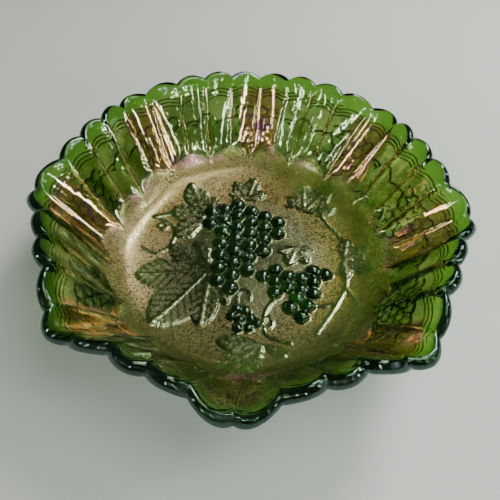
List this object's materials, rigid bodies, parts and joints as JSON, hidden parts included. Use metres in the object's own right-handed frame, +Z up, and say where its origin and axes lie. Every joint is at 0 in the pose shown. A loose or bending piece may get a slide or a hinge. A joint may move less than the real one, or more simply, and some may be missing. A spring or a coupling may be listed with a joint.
{
  "type": "carnival glass bowl",
  "caption": "Round pressed-glass bowl with a scalloped, ruffled rim, a fluted wall, a grape and leaf floor, a plain foot ring and an iridescent film inside.",
  "frame": {"origin": "centre of the foot ring, in the plane that it stands on", "axes": "+Z up through the open mouth, -Y towards the drawn-down front ruffle, +X to the right seen from the front"},
  "size_m": [0.2486, 0.2468, 0.073],
  "materials": {
    "green_carnival_glass": "gloss, green glass with a gold and copper iridescent film on the inner face"
  },
  "bodies": {
    "root": {"pressed_glass_bowl": "green_carnival_glass"}
  },
  "joints": []
}
